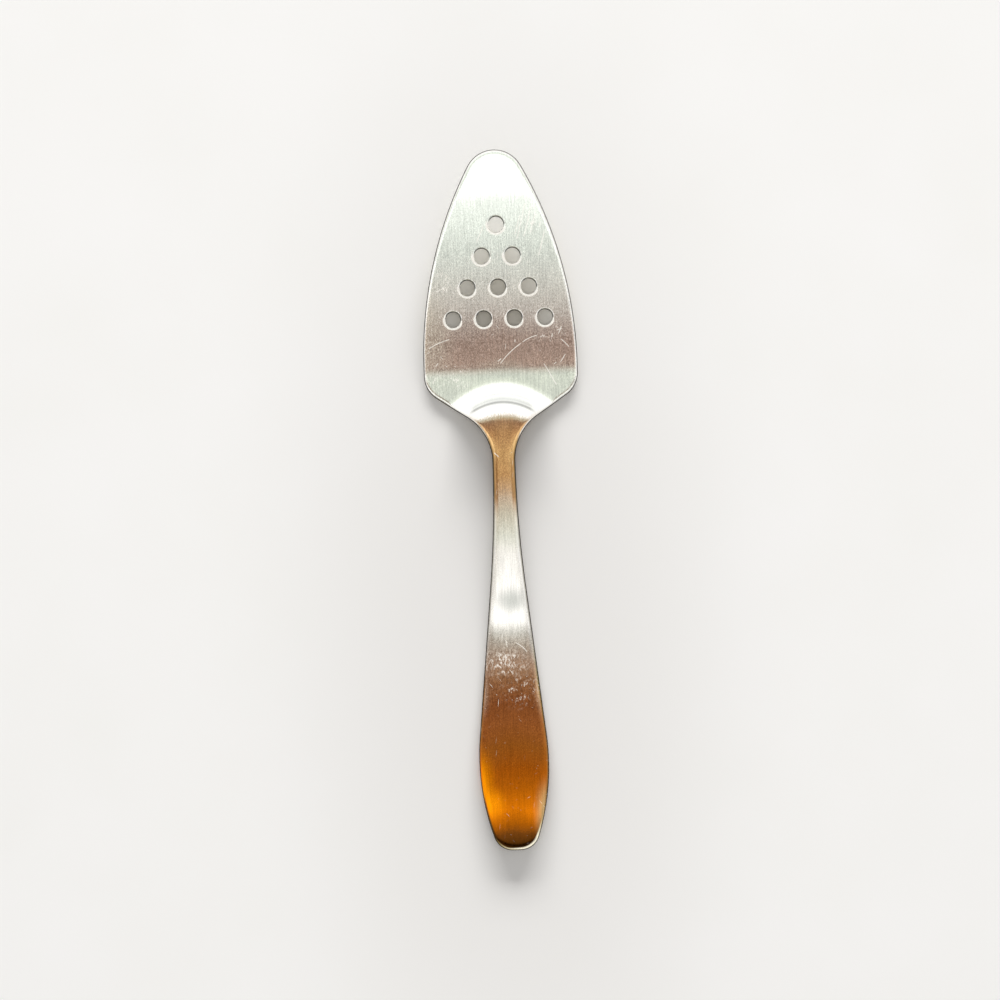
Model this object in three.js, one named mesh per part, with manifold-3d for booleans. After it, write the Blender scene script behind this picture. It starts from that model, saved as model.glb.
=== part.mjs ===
// A pierced cake server pressed from one piece of stainless steel: a flat, tapering blade with
// ten drain holes, a stepped heel, a slim neck and a broad handle. At rest it touches the table
// where the blade meets the heel and at the handle's low place; its tip and end are in the air.
// Units are millimetres. The tip points along +Y, +Z is up and the table is the plane z = 0.
// The origin is on the table, halfway between the tip and the handle's end.

import * as THREE from 'three';
import { mergeVertices } from 'three/addons/utils/BufferGeometryUtils.js';
import Module from 'manifold-3d';

// Outline, seen from above
const overallLength = 240;
const bladeWidth = 53.2;
const bladeWidestFromTip = 73.2; // where the blade's curved side has become parallel to the axis
const noseRadius = 10.4;
const shoulderFromTip = 75.9; // where the shoulder starts to turn in
const shoulderRadius = 9.5;
const neckFromTip = 106.1; // the narrowest place
const neckWidth = 7.9;
const flareRadius = 18.5; // hollow curve between the shoulder and the neck
const swellRadius = 420; // hollow curve between the neck and the handle
const handleWidth = 24;
const handleWidestFromEnd = 30.7;
const handleSideRadius = 82;
const endCornerRadius = 6.6;

// Sheet, seen from the side. Angles are in degrees from the level.
const bladeThickness = 1.5;
const neckThickness = 3.2;
const handleThickness = 2.4;
const tipAngle = 4; // the last stretch to the tip is a little more level than the bed
const tipBendFromTip = 13;
const tipBendReach = 4; // each bend is spread over its reach on both sides of its place
const bladeAngle = 5.7; // the flat bed of the blade rises towards the tip
const bedEndFromTip = 75; // the blade becomes level here and touches the table
const bedEndReach = 2.2;
const heelFootFromTip = 81.6;
const heelFootReach = 4.3;
const heelTopFromTip = 89.4;
const heelTopReach = 2.4;
const heelBow = 21; // radius, seen from above, of the arched lines of the heel's step
const neckAngle = 1.7; // from the heel on, the neck and handle fall back towards the table
const archFromTip = 108;
const archReach = 20;
const archAngle = 3.4;
const lowStartFromTip = 165.5; // the handle becomes level here and touches the table
const lowStartReach = 6;
const lowEndFromTip = 182;
const lowEndReach = 3;
const endAngle = 1.7; // the rise from the low place to the end

// Cross-section
const neckCrown = 0.4; // how far the top falls from the axis to the side
const handleCrown = 0.35;
const bladeTopEdge = 1.6; // width of the rounding along the edge
const bladeUnderEdge = 0.7;
const handleTopEdge = 2.8;
const handleUnderEdge = 1.3;
const neckTopEdge = 1.9;
const neckUnderEdge = 1.2;
const edgeFullness = 2.4; // 2 is an ellipse, more is squarer
const endTaperLength = 8; // the handle thins towards its end
const endTaper = 0.9;

// Drain holes: 1, 2, 3 and 4 in a triangle that points to the tip
const holeRows = 4;
const holeDiameter = 5.2;
const holePitch = 10.55;
const holeRowPitch = 10.6;
const firstHoleFromTip = 25.1;
const punchRadius = 0.7; // the edge that the punch drew in on top
const burrBreak = 0.15; // the small chamfer underneath

// Fineness of the facets
const longFacet = 5;
const shortFacet = 2;
const facetTurn = THREE.MathUtils.degToRad( 12 );
const bedColumns = 6;
const edgeSteps = 3;
const holeSides = 20;
const leastGap = 0.01; // arcs that meet closer than this share a point
const sampleStep = 0.25; // between the places at which the underside is measured

// Places along the axis, worked out from the dimensions above
const tipY = overallLength / 2;
const endY = - overallLength / 2;
const widestY = tipY - bladeWidestFromTip;
const shoulderY = tipY - shoulderFromTip;
const neckY = tipY - neckFromTip;
const heelTopY = tipY - heelTopFromTip;
const handleY = endY + handleWidestFromEnd;
const lowStartY = tipY - lowStartFromTip;
const noseY = tipY - noseRadius;
const endCornerY = endY + endCornerRadius;

// The outline's right half is a chain of arcs. "turn" is how far the outline has turned in
// from the axis: -90 degrees at the tip, 0 where it runs straight back, 90 at the end.
// A negative radius is a hollow curve, whose centre lies outside the metal.

function onArc( arc, turn ) {

	const out = new THREE.Vector2( Math.cos( turn ), - Math.sin( turn ) );
	const point = new THREE.Vector2( arc.x, arc.y ).addScaledVector( out, arc.radius );
	return { point, out };

}

// The turn at which one straight line touches a bulging arc and a hollow one
function turnOfSharedTangent( bulge, hollow, side ) {

	const across = hollow.x - bulge.x;
	const along = hollow.y - bulge.y;
	const reach = bulge.radius - hollow.radius;
	return side * Math.acos( reach / Math.hypot( across, along ) ) - Math.atan2( along, across );

}

function outlineArcs() {

	const halfBlade = bladeWidth / 2;
	const halfNeck = neckWidth / 2;
	const halfHandle = handleWidth / 2;

	// The blade's side is the arc that touches the nose and is parallel to the axis at its widest
	const rise = noseY - widestY;
	const chord = halfBlade ** 2 + rise ** 2 - noseRadius ** 2;
	const sideRadius = chord / ( 2 * ( halfBlade - noseRadius ) );
	const nose = { x: 0, y: noseY, radius: noseRadius, facet: shortFacet };
	const side = { x: halfBlade - sideRadius, y: widestY, radius: sideRadius, facet: longFacet };
	const noseTurn = - Math.atan2( rise, - side.x );

	const shoulder = { x: halfBlade - shoulderRadius, y: shoulderY, radius: shoulderRadius, facet: shortFacet };
	const flare = { x: halfNeck + flareRadius, y: neckY, radius: - flareRadius, facet: shortFacet };
	const flankTurn = turnOfSharedTangent( shoulder, flare, - 1 );

	const swell = { x: halfNeck + swellRadius, y: neckY, radius: - swellRadius, facet: longFacet };
	const handle = { x: halfHandle - handleSideRadius, y: handleY, radius: handleSideRadius, facet: longFacet };
	const swellTurn = turnOfSharedTangent( handle, swell, 1 );

	// The corner touches the handle's side and the straight end
	const drop = handleY - endCornerY;
	const cornerX = handle.x + Math.sqrt( ( handleSideRadius - endCornerRadius ) ** 2 - drop ** 2 );
	const corner = { x: cornerX, y: endCornerY, radius: endCornerRadius, facet: shortFacet };
	const cornerTurn = Math.atan2( drop, cornerX - handle.x );

	return [
		{ ...nose, from: - Math.PI / 2, to: noseTurn },
		{ ...side, from: noseTurn, to: 0 },
		{ ...shoulder, from: 0, to: flankTurn },
		{ ...flare, from: flankTurn, to: 0 },
		{ ...swell, from: 0, to: swellTurn },
		{ ...handle, from: swellTurn, to: cornerTurn },
		{ ...corner, from: cornerTurn, to: Math.PI / 2 },
	];

}

// Straight stretches between the arcs are cut into the facets of the finer neighbour
function outlinePoints() {

	const points = [];

	function lineTo( end, facet ) {

		const start = points[ points.length - 1 ];
		const gap = start.point.distanceTo( end.point );
		const steps = Math.ceil( gap / facet );
		for ( let i = 1; i < steps; i ++ ) {

			points.push( { point: start.point.clone().lerp( end.point, i / steps ), out: end.out } );

		}

		if ( gap > leastGap ) points.push( end );

	}

	let lastFacet = shortFacet;
	for ( const arc of outlineArcs() ) {

		const start = onArc( arc, arc.from );
		if ( points.length === 0 ) points.push( start );
		else lineTo( start, Math.min( arc.facet, lastFacet ) );

		const sweep = Math.abs( arc.to - arc.from );
		const steps = Math.ceil( Math.max( sweep * Math.abs( arc.radius ) / arc.facet, sweep / facetTurn ) );
		for ( let i = 1; i <= steps; i ++ ) {

			points.push( onArc( arc, arc.from + ( arc.to - arc.from ) * i / steps ) );

		}

		lastFacet = arc.facet;

	}

	points.push( { point: new THREE.Vector2( 0, endY ), out: new THREE.Vector2( 0, - 1 ) } );
	return points;

}

// A gradual change of slope: 0 well before the bend, the distance past it well after,
// and a parabola within the bend's reach
function bend( past, reach ) {

	if ( past <= - reach ) return 0;
	if ( past >= reach ) return past;
	return ( past + reach ) ** 2 / ( 4 * reach );

}

function bendSlope( past, reach ) {

	return THREE.MathUtils.clamp( ( past + reach ) / ( 2 * reach ), 0, 1 );

}

// A size that has one value on the blade, one at the neck and one on the handle
function along( y, blade, neck, handle ) {

	const toNeck = THREE.MathUtils.smoothstep( - y, - heelTopY, - neckY );
	const toHandle = THREE.MathUtils.smoothstep( - y, - neckY, - lowStartY );
	return blade + ( neck - blade ) * toNeck + ( handle - neck ) * toHandle;

}

// Slopes are positive where the sheet rises on the way back from the tip
const tipSlope = - Math.tan( THREE.MathUtils.degToRad( tipAngle ) );
const bladeSlope = - Math.tan( THREE.MathUtils.degToRad( bladeAngle ) );
const neckSlope = - Math.tan( THREE.MathUtils.degToRad( neckAngle ) );
const archSlope = - Math.tan( THREE.MathUtils.degToRad( archAngle ) );
const endSlope = Math.tan( THREE.MathUtils.degToRad( endAngle ) );

// The top of the sheet along the axis without the heel's step, measured up from the top at the
// tip. The top runs smoothly and the underside takes the changes of thickness.
function stroke( back ) {

	const height = tipSlope * back
		+ ( bladeSlope - tipSlope ) * bend( back - tipBendFromTip, tipBendReach )
		- bladeSlope * bend( back - bedEndFromTip, bedEndReach )
		+ neckSlope * bend( back - heelTopFromTip, heelTopReach )
		+ ( archSlope - neckSlope ) * bend( back - archFromTip, archReach )
		- archSlope * bend( back - lowStartFromTip, lowStartReach )
		+ endSlope * bend( back - lowEndFromTip, lowEndReach );
	const slope = tipSlope
		+ ( bladeSlope - tipSlope ) * bendSlope( back - tipBendFromTip, tipBendReach )
		- bladeSlope * bendSlope( back - bedEndFromTip, bedEndReach )
		+ neckSlope * bendSlope( back - heelTopFromTip, heelTopReach )
		+ ( archSlope - neckSlope ) * bendSlope( back - archFromTip, archReach )
		- archSlope * bendSlope( back - lowStartFromTip, lowStartReach )
		+ endSlope * bendSlope( back - lowEndFromTip, lowEndReach );
	return { height, slope };

}

function lowestUnderside( from, to ) {

	let lowest = Infinity;
	for ( let back = from; back <= to; back += sampleStep ) {

		const { height, slope } = stroke( back );
		const thickness = along( tipY - back, bladeThickness, neckThickness, handleThickness );
		lowest = Math.min( lowest, height - thickness * Math.hypot( 1, slope ) );

	}

	return lowest;

}

// The tip's height and the heel's step bring both resting places down to the table
const tipHeight = - lowestUnderside( 0, heelFootFromTip );
const heelHeight = - tipHeight - lowestUnderside( heelTopFromTip, overallLength );
const heelSlope = heelHeight / ( heelTopFromTip - heelFootFromTip );

// Height of the sheet's top without its crown, and its slopes along x and along the way back
// from the tip. The heel's lines bow towards the tip, so a place off the axis counts as nearer
// to the tip.
function sheet( x, y ) {

	const back = tipY - y;
	const heelBack = back - x ** 2 / ( 2 * heelBow );
	const { height, slope } = stroke( back );
	const step = heelSlope * ( bend( heelBack - heelFootFromTip, heelFootReach )
		- bend( heelBack - heelTopFromTip, heelTopReach ) );
	const stepSlope = heelSlope * ( bendSlope( heelBack - heelFootFromTip, heelFootReach )
		- bendSlope( heelBack - heelTopFromTip, heelTopReach ) );
	return {
		height: tipHeight + height + step,
		slopeBack: slope + stepSlope,
		slopeX: - stepSlope * x / heelBow,
	};

}

// Half of the outline's width at a place along the axis, for the crown
const outline = outlinePoints();

function halfWidth( y ) {

	const i = outline.findIndex( ( p ) => p.point.y <= y );
	if ( i <= 0 ) return outline[ Math.max( i, 1 ) ].point.x;
	const a = outline[ i - 1 ].point;
	const b = outline[ i ].point;
	return THREE.MathUtils.mapLinear( y, a.y, b.y, a.x, b.x );

}

// Top and underside at a place, upright thickness included
function faces( x, y ) {

	const { height, slopeBack, slopeX } = sheet( x, y );
	const nearEnd = THREE.MathUtils.clamp( ( endY + endTaperLength - y ) / endTaperLength, 0, 1 );
	const taper = endTaper * nearEnd ** 2;
	const thickness = along( y, bladeThickness, neckThickness, handleThickness );
	const upright = thickness * Math.hypot( 1, slopeBack, slopeX );
	const share = y > heelTopY ? 0 : x / Math.max( halfWidth( y ), neckWidth / 2 );
	const crown = along( y, 0, neckCrown, handleCrown ) * share ** 2;
	return { top: height - crown - taper, middle: height - upright / 2, under: height - upright };

}

// One rib runs from the axis over the top to the edge and back underneath. Round the nose
// and the end the ribs fan out from the centres of those curves.
function rib( { point, out } ) {

	const { x, y } = point;
	const topEdge = along( y, bladeTopEdge, neckTopEdge, handleTopEdge );
	const underEdge = along( y, bladeUnderEdge, neckUnderEdge, handleUnderEdge );

	function row( edge, surface ) {

		const rowPoints = [];
		const inner = point.clone().addScaledVector( out, - edge );
		inner.x = Math.max( inner.x, 0 );
		const root = new THREE.Vector2( 0, THREE.MathUtils.clamp( inner.y, endCornerY, noseY ) );
		for ( let i = 0; i < bedColumns; i ++ ) {

			const p = root.clone().lerp( inner, i / bedColumns );
			rowPoints.push( new THREE.Vector3( p.x, p.y, faces( p.x, p.y )[ surface ] ) );

		}

		for ( let i = edgeSteps; i > 0; i -- ) {

			const angle = i / edgeSteps * Math.PI / 2;
			const inward = edge * ( 1 - Math.cos( angle ) ** ( 2 / edgeFullness ) );
			const rise = Math.sin( angle ) ** ( 2 / edgeFullness );
			const p = point.clone().addScaledVector( out, - inward );
			p.x = Math.max( p.x, 0 );
			const here = faces( p.x, p.y );
			const height = THREE.MathUtils.lerp( here.middle, here[ surface ], rise );
			rowPoints.push( new THREE.Vector3( p.x, p.y, height ) );

		}

		return rowPoints;

	}

	const rim = new THREE.Vector3( x, y, faces( x, y ).middle );
	return [ ...row( topEdge, 'top' ), rim, ...row( underEdge, 'under' ).reverse() ];

}

// The closed skin: neighbouring ribs joined by quads, and the same again mirrored to the left
function skinGeometry() {

	const ribs = outline.map( rib );
	const rows = ribs[ 0 ].length;
	const positions = [];
	const indices = [];

	for ( const mirror of [ 1, - 1 ] ) {

		const first = positions.length / 3;
		for ( const points of ribs ) {

			for ( const p of points ) positions.push( mirror * p.x, p.y, p.z );

		}

		for ( let i = 0; i < ribs.length - 1; i ++ ) {

			for ( let k = 0; k < rows - 1; k ++ ) {

				const a = first + i * rows + k;
				const b = a + 1;
				const c = a + rows;
				const d = c + 1;
				if ( mirror > 0 ) indices.push( a, c, b, b, c, d );
				else indices.push( a, b, c, b, d, c );

			}

		}

	}

	const geometry = new THREE.BufferGeometry();
	geometry.setAttribute( 'position', new THREE.Float32BufferAttribute( positions, 3 ) );
	geometry.setIndex( indices );
	return geometry;

}

// The space that one drain hole takes: a bore with a rounded mouth on top and a chamfer below
function holeGeometry() {

	const bore = holeDiameter / 2;
	const half = bladeThickness / 2;
	const clear = 1; // the cutter runs past both faces by this much
	const profile = [ new THREE.Vector2( 0, - half - clear ) ];
	profile.push( new THREE.Vector2( bore + burrBreak + clear, - half - clear ) );
	profile.push( new THREE.Vector2( bore, - half + burrBreak ) );
	const mouthAngles = [ 90, 55, 22 ];
	for ( const degrees of mouthAngles ) {

		const angle = THREE.MathUtils.degToRad( degrees );
		const r = bore + punchRadius * ( 1 - Math.sin( angle ) );
		profile.push( new THREE.Vector2( r, half - punchRadius * ( 1 - Math.cos( angle ) ) ) );

	}

	// The mouth's last facet carries on past the surface
	const last = profile[ profile.length - 1 ];
	const mouthSlope = 0.25;
	profile.push( new THREE.Vector2( last.x + clear, last.y + clear * mouthSlope ) );
	profile.push( new THREE.Vector2( last.x + clear, half + clear ) );
	profile.push( new THREE.Vector2( 0, half + clear ) );

	const geometry = new THREE.LatheGeometry( profile, holeSides );
	geometry.rotateX( Math.PI / 2 );
	return geometry;

}

function holePlaces() {

	const places = [];
	for ( let row = 0; row < holeRows; row ++ ) {

		const y = tipY - firstHoleFromTip - row * holeRowPitch;
		for ( let i = 0; i <= row; i ++ ) {

			places.push( new THREE.Vector2( ( i - row / 2 ) * holePitch, y ) );

		}

	}

	return places;

}

const wasm = await Module();
wasm.setup();

function toSolid( geometry ) {

	const bare = geometry.clone();
	bare.deleteAttribute( 'normal' );
	bare.deleteAttribute( 'uv' );
	const merged = mergeVertices( bare );
	const corners = merged.index.array;
	const triangles = [];
	for ( let i = 0; i < corners.length; i += 3 ) {

		const [ a, b, c ] = corners.slice( i, i + 3 );
		if ( a !== b && b !== c && c !== a ) triangles.push( a, b, c );

	}

	return new wasm.Manifold( new wasm.Mesh( {
		numProp: 3,
		vertProperties: new Float32Array( merged.attributes.position.array ),
		triVerts: new Uint32Array( triangles ),
	} ) );

}

function toGeometry( solid ) {

	const mesh = solid.getMesh();
	const geometry = new THREE.BufferGeometry();
	geometry.setAttribute( 'position', new THREE.Float32BufferAttribute( mesh.vertProperties, 3 ) );
	geometry.setIndex( new THREE.BufferAttribute( mesh.triVerts, 1 ) );
	geometry.computeVertexNormals();
	return geometry;

}

// Each hole is punched square to the blade at its place
function pierce( solid ) {

	let pierced = solid;
	for ( const place of holePlaces() ) {

		const { slopeBack } = sheet( place.x, place.y );
		const cutter = holeGeometry();
		cutter.rotateX( - Math.atan( slopeBack ) );
		cutter.translate( place.x, place.y, faces( place.x, place.y ).middle );
		pierced = pierced.subtract( toSolid( cutter ) );

	}

	return pierced;

}

const steel = new THREE.MeshStandardMaterial( { color: 0xc9c6bd, roughness: 0.3, metalness: 1 } );
const server = new THREE.Mesh( toGeometry( pierce( toSolid( skinGeometry() ) ) ), steel );
server.name = 'cake_server';

const group = new THREE.Group();
group.add( server );

export default group;
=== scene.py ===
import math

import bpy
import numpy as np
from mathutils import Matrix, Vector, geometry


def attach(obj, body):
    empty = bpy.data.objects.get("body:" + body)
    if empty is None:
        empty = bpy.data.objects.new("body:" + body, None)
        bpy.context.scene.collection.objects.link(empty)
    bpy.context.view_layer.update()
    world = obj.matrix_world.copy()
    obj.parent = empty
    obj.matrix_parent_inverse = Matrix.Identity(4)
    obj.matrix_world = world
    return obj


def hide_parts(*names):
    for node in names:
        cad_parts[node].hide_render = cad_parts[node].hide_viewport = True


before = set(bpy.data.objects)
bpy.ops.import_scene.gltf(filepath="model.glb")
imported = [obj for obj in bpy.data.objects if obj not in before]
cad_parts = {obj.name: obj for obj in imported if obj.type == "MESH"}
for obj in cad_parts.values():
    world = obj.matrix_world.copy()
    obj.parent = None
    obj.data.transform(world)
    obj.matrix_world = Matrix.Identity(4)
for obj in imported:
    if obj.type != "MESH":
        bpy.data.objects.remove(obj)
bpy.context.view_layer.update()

# A pierced cake server in brushed stainless steel, lying on a pale table and seen from above.
# The steel is one fine mesh on the CAD model's own outline and profile, which rides on the
# model's only body and replaces its one node. The server's sizes are in millimetres until its
# mesh is made; those of the table, the room, the lamps and the camera are in metres.

MM = 0.001

# Outline, seen from above
LENGTH = 240
BLADE_WIDTH = 53.2
BLADE_WIDEST_FROM_TIP = 73.2
NOSE_RADIUS = 10.4
SHOULDER_FROM_TIP = 75.9
SHOULDER_RADIUS = 9.5
NECK_FROM_TIP = 106.1
NECK_WIDTH = 7.9
FLARE_RADIUS = 18.5
SWELL_RADIUS = 420
HANDLE_WIDTH = 24
HANDLE_WIDEST_FROM_END = 30.7
HANDLE_SIDE_RADIUS = 82
END_CORNER_RADIUS = 6.6

# Sheet, seen from the side. Slopes are positive where it rises on the way back from the tip.
BLADE_THICKNESS = 1.5
NECK_THICKNESS = 3.2
HANDLE_THICKNESS = 2.4
TIP_SLOPE = -math.tan(math.radians(4))
TIP_BEND_FROM_TIP, TIP_BEND_REACH = 13, 4
BLADE_SLOPE = -math.tan(math.radians(5.7))
BED_END_FROM_TIP, BED_END_REACH = 75, 2.2
HEEL_FOOT_FROM_TIP, HEEL_FOOT_REACH = 81.6, 4.3
HEEL_TOP_FROM_TIP, HEEL_TOP_REACH = 89.4, 2.4
HEEL_BOW = 21
NECK_SLOPE = -math.tan(math.radians(1.7))
ARCH_FROM_TIP, ARCH_REACH = 108, 20
ARCH_SLOPE = -math.tan(math.radians(3.4))
LOW_START_FROM_TIP, LOW_START_REACH = 165.5, 6
LOW_END_FROM_TIP, LOW_END_REACH = 182, 3
END_SLOPE = math.tan(math.radians(1.7))
SAMPLE_STEP = 0.25

# Cross-section, as (blade, neck, handle)
CROWN = (0, 0.4, 0.35)
TOP_EDGE = (1.6, 1.9, 2.8)
UNDER_EDGE = (0.7, 1.2, 1.3)
EDGE_FULLNESS = 2.4
END_TAPER_LENGTH = 8
END_TAPER = 0.9
UNDER_RIM_INSET = 0.5  # the least inset of the under edge, so that the rim's painted dark line stays on top

# Drain holes
HOLE_ROWS = 4
HOLE_RADIUS = 2.6
HOLE_PITCH = 10.55
HOLE_ROW_PITCH = 10.6
FIRST_HOLE_FROM_TIP = 25.1
PUNCH_RADIUS = 0.7
BURR_BREAK = 0.15
MOUTH_GLINT_WIDTH = 0.5  # the ring round a mouth that is painted bright, a painted highlight
# Painted highlight and shade on the holes' mouths: bright on the lower left, dark on the upper
# right. The direction of the bright side, and where on the way to it the bright and the dark side
# set in and are full
GLINT_DIRECTION = (-0.3, -0.95)
BRIGHT_SIDE = (-0.35, 0.45)
DARK_SIDE = (-0.1, 0.5)

# Fineness of the mesh
OUTLINE_STEP = 0.6
SHEET_STEP = 1.1
TOP_EDGE_ROWS = 12
UNDER_EDGE_ROWS = 7
HOLE_SIDES = 56
MOUTH_ROWS = 6
NORMAL_STEP = 0.04
CLEAR_OF_EDGE = 0.55 * OUTLINE_STEP  # the face's own points keep this far from its border
CLEAR_OF_HOLES = 0.3
TRIANGLE_CLEAR = 0.02  # a triangle is metal if its middle is clear of the holes by this much

TIP_Y = LENGTH / 2
END_Y = -LENGTH / 2
NECK_Y = TIP_Y - NECK_FROM_TIP
HEEL_TOP_Y = TIP_Y - HEEL_TOP_FROM_TIP
HANDLE_Y = END_Y + HANDLE_WIDEST_FROM_END
LOW_START_Y = TIP_Y - LOW_START_FROM_TIP


def on_arc(arc, turn):
    """A point of an outline arc and the direction out of the metal there."""
    x, y, radius = arc
    out = np.array([math.cos(turn), -math.sin(turn)])
    return np.array([x, y]) + radius * out, out


def shared_tangent(bulge, hollow, side):
    """The turn at which one straight line touches a bulging arc and a hollow one."""
    across, along_axis = hollow[0] - bulge[0], hollow[1] - bulge[1]
    reach = (bulge[2] - hollow[2]) / math.hypot(across, along_axis)
    return side * math.acos(reach) - math.atan2(along_axis, across)


def outline_half():
    """The right half of the outline from the tip to the end: points and outward directions."""
    half_blade, half_neck, half_handle = BLADE_WIDTH / 2, NECK_WIDTH / 2, HANDLE_WIDTH / 2
    nose_y, widest_y = TIP_Y - NOSE_RADIUS, TIP_Y - BLADE_WIDEST_FROM_TIP
    rise = nose_y - widest_y
    side_radius = (half_blade**2 + rise**2 - NOSE_RADIUS**2) / (2 * (half_blade - NOSE_RADIUS))
    nose = (0, nose_y, NOSE_RADIUS)
    side = (half_blade - side_radius, widest_y, side_radius)
    shoulder = (half_blade - SHOULDER_RADIUS, TIP_Y - SHOULDER_FROM_TIP, SHOULDER_RADIUS)
    flare = (half_neck + FLARE_RADIUS, NECK_Y, -FLARE_RADIUS)
    swell = (half_neck + SWELL_RADIUS, NECK_Y, -SWELL_RADIUS)
    handle = (half_handle - HANDLE_SIDE_RADIUS, HANDLE_Y, HANDLE_SIDE_RADIUS)
    corner_y = END_Y + END_CORNER_RADIUS
    drop = HANDLE_Y - corner_y
    corner_x = handle[0] + math.sqrt((HANDLE_SIDE_RADIUS - END_CORNER_RADIUS) ** 2 - drop**2)
    corner = (corner_x, corner_y, END_CORNER_RADIUS)

    nose_turn = -math.atan2(rise, -side[0])
    flank_turn = shared_tangent(shoulder, flare, -1)
    swell_turn = shared_tangent(handle, swell, 1)
    corner_turn = math.atan2(drop, corner_x - handle[0])
    stretches = [
        (nose, -math.pi / 2, nose_turn),
        (side, nose_turn, 0),
        (shoulder, 0, flank_turn),
        (flare, flank_turn, 0),
        (swell, 0, swell_turn),
        (handle, swell_turn, corner_turn),
        (corner, corner_turn, math.pi / 2),
    ]
    made = []

    def line_to(end):
        start = made[-1]
        steps = math.ceil(np.linalg.norm(end[0] - start[0]) / OUTLINE_STEP - 0.01)
        for i in range(1, steps + 1):
            made.append((start[0] + (end[0] - start[0]) * i / steps, end[1]))

    for arc, first, last in stretches:
        if made:
            line_to(on_arc(arc, first))
        else:
            made.append(on_arc(arc, first))
        steps = math.ceil(abs(last - first) * abs(arc[2]) / OUTLINE_STEP)
        for i in range(1, steps + 1):
            made.append(on_arc(arc, first + (last - first) * i / steps))
    line_to((np.array([0, END_Y]), np.array([0, -1])))
    return np.array([m[0] for m in made]), np.array([m[1] for m in made])


HALF_POINTS, HALF_OUT = outline_half()
SIDE_POINTS = HALF_POINTS[: np.argmax(HALF_POINTS[:, 1] < END_Y + 1e-6) + 1]


def half_width(y):
    """Half of the outline's width at a place along the axis."""
    return np.interp(-y, -SIDE_POINTS[:, 1], SIDE_POINTS[:, 0])


def smoothstep(value, low, high):
    """0 below low, 1 above high and a smooth step between."""
    share = np.clip((value - low) / (high - low), 0, 1)
    return share * share * (3 - 2 * share)


def along(y, sizes):
    """A size that has one value on the blade, one at the neck and one on the handle."""
    blade, neck, handle = sizes
    to_neck = smoothstep(-y, -HEEL_TOP_Y, -NECK_Y)
    to_handle = smoothstep(-y, -NECK_Y, -LOW_START_Y)
    return blade + (neck - blade) * to_neck + (handle - neck) * to_handle


def bend(past, reach):
    """A gradual change of slope: 0 well before the bend and the distance past it well after."""
    return np.clip(past + reach, 0, 2 * reach) ** 2 / (4 * reach) + np.maximum(past - reach, 0)


def bend_slope(past, reach):
    """How far the change of slope of a bend has come, from 0 to 1."""
    return np.clip((past + reach) / (2 * reach), 0, 1)


def stroke(back):
    """Height and slope of the sheet's top along the axis, without the heel's step."""
    height, slope = TIP_SLOPE * back, TIP_SLOPE
    for place, reach, change in [
        (TIP_BEND_FROM_TIP, TIP_BEND_REACH, BLADE_SLOPE - TIP_SLOPE),
        (BED_END_FROM_TIP, BED_END_REACH, -BLADE_SLOPE),
        (HEEL_TOP_FROM_TIP, HEEL_TOP_REACH, NECK_SLOPE),
        (ARCH_FROM_TIP, ARCH_REACH, ARCH_SLOPE - NECK_SLOPE),
        (LOW_START_FROM_TIP, LOW_START_REACH, -ARCH_SLOPE),
        (LOW_END_FROM_TIP, LOW_END_REACH, END_SLOPE),
    ]:
        height = height + change * bend(back - place, reach)
        slope = slope + change * bend_slope(back - place, reach)
    return height, slope


def thickness_at(y):
    """Thickness of the sheet, measured square to it."""
    return along(y, (BLADE_THICKNESS, NECK_THICKNESS, HANDLE_THICKNESS))


def lowest_underside(first, last):
    """The lowest height of the underside between two distances from the tip."""
    back = np.arange(first, last + SAMPLE_STEP / 2, SAMPLE_STEP)
    height, slope = stroke(back)
    return (height - thickness_at(TIP_Y - back) * np.hypot(1, slope)).min()


# The tip's height and the heel's step bring both resting places down to the table
TIP_HEIGHT = -lowest_underside(0, HEEL_FOOT_FROM_TIP)
HEEL_HEIGHT = -TIP_HEIGHT - lowest_underside(HEEL_TOP_FROM_TIP, LENGTH)
HEEL_SLOPE = HEEL_HEIGHT / (HEEL_TOP_FROM_TIP - HEEL_FOOT_FROM_TIP)


def sheet(x, y):
    """Height of the top without its crown, with its slopes along x and back from the tip."""
    back = TIP_Y - y
    heel_back = back - x**2 / (2 * HEEL_BOW)
    height, slope = stroke(back)
    foot, top = heel_back - HEEL_FOOT_FROM_TIP, heel_back - HEEL_TOP_FROM_TIP
    step = HEEL_SLOPE * (bend(foot, HEEL_FOOT_REACH) - bend(top, HEEL_TOP_REACH))
    step_slope = HEEL_SLOPE * (
        bend_slope(foot, HEEL_FOOT_REACH) - bend_slope(top, HEEL_TOP_REACH)
    )
    return TIP_HEIGHT + height + step, slope + step_slope, -step_slope * x / HEEL_BOW


def faces(x, y):
    """Heights of the middle, top and underside of the metal."""
    height, slope_back, slope_x = sheet(x, y)
    upright = thickness_at(y) * np.sqrt(1 + slope_back**2 + slope_x**2)
    share = np.where(y > HEEL_TOP_Y, 0, x / np.maximum(half_width(y), NECK_WIDTH / 2))
    taper = END_TAPER * np.clip((END_Y + END_TAPER_LENGTH - y) / END_TAPER_LENGTH, 0, 1) ** 2
    top = height - along(y, CROWN) * share**2 - taper
    return height - upright / 2, top, height - upright


def face_normals(x, y, which):
    """Unit normals of the top (which = 1) or underside (which = 2), from small differences."""
    dx = faces(x + NORMAL_STEP, y)[which] - faces(x - NORMAL_STEP, y)[which]
    dy = faces(x, y + NORMAL_STEP)[which] - faces(x, y - NORMAL_STEP)[which]
    normals = np.stack([-dx, -dy, np.full_like(dx, 2 * NORMAL_STEP)], axis=1)
    normals /= np.linalg.norm(normals, axis=1)[:, None]
    return normals if which == 1 else -normals


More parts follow.
